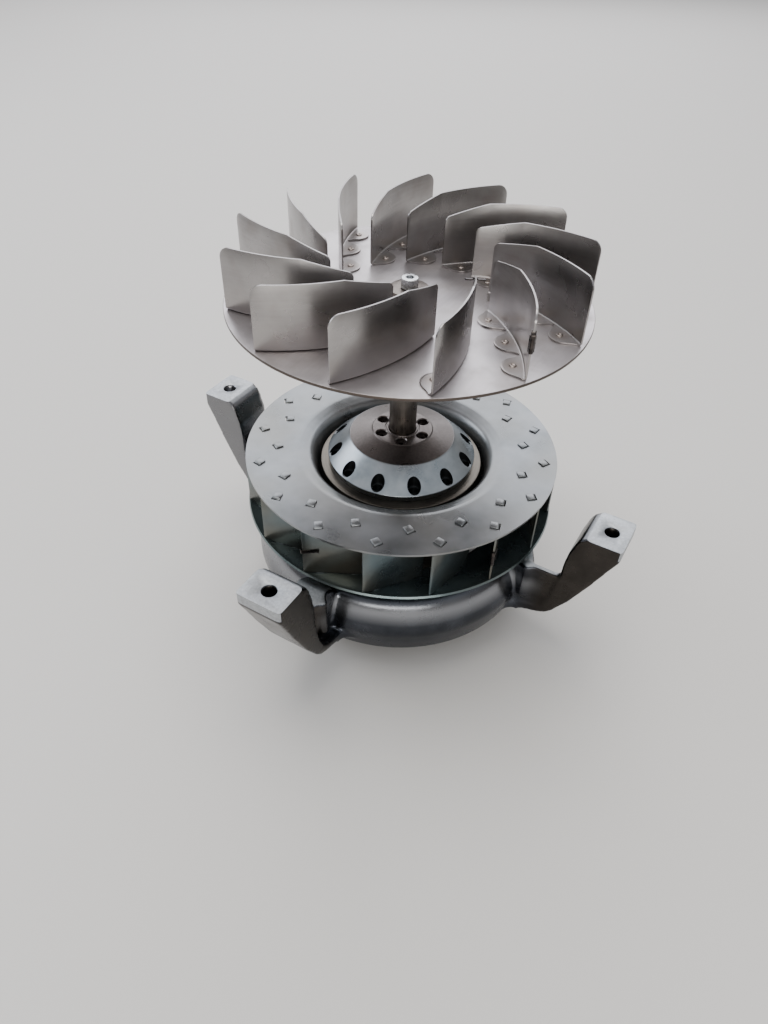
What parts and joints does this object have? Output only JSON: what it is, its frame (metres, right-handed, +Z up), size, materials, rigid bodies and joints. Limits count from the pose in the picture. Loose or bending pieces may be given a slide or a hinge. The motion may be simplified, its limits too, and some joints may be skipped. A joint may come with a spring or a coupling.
{
  "type": "hot-gas fan unit",
  "caption": "Hot-gas fan unit: cast bracket with bolt arms, external-rotor motor, galvanised cooling impeller and, high on its shaft, a stainless wheel of upright curved vanes.",
  "frame": {"origin": "on the shaft axis at the underside of the motor foot, which is the lowest point of the part", "axes": "+Z up along the shaft, +X out along one bracket arm, the other arms on +Y, -X and -Y"},
  "size_m": [0.2696, 0.2696, 0.2217],
  "materials": {
    "stainless": "rolled stainless sheet, satin, with heat and handling marks",
    "galvanised": "galvanised sheet, smooth and slightly clouded",
    "casting": "die-cast aluminium, as cast, dull grey",
    "rotor": "cast aluminium with turned faces",
    "steel": "turned steel, lightly oiled",
    "core": "varnished winding stack",
    "plastic": "moulded, matt"
  },
  "bodies": {
    "bracket": {"bracket_ring": "casting", "inlet_nozzle": "casting", "bracket_arm_east": "casting", "bracket_arm_north": "casting", "bracket_arm_west": "casting", "bracket_arm_south": "casting", "motor_spider": "casting", "motor_foot": "casting", "cable_gland": "plastic", "motor_stator": "core"},
    "rotor": {"rotor_can": "rotor", "rotor_cap": "rotor", "shaft": "steel", "impeller_back_plate": "galvanised", "impeller_inlet_ring": "galvanised", "impeller_blade_01": "galvanised", "impeller_blade_02": "galvanised", "impeller_blade_03": "galvanised", "impeller_blade_04": "galvanised", "impeller_blade_05": "galvanised", "impeller_blade_06": "galvanised", "impeller_blade_07": "galvanised", "impeller_blade_08": "galvanised", "impeller_blade_09": "galvanised", "impeller_blade_10": "galvanised", "impeller_blade_11": "galvanised", "impeller_blade_12": "galvanised", "impeller_blade_13": "galvanised", "impeller_blade_14": "galvanised", "impeller_blade_15": "galvanised", "impeller_blade_16": "galvanised", "hot_wheel_disc": "stainless", "hub_washer": "steel", "hub_screw": "steel", "hot_vane_01": "stainless", "hot_vane_02": "stainless", "hot_vane_03": "stainless", "hot_vane_04": "stainless", "hot_vane_05": "stainless", "hot_vane_06": "stainless", "hot_vane_07": "stainless", "hot_vane_08": "stainless", "hot_vane_09": "stainless", "hot_vane_10": "stainless", "hot_vane_11": "stainless", "hot_vane_12": "stainless", "hot_vane_13": "stainless"}
  },
  "joints": [
    {"name": "rotor_spin", "type": "hinge", "parent": "bracket", "child": "rotor", "pos_m": [0, 0, 0.06], "axis": [0, 0, 1], "continuous": true}
  ]
}
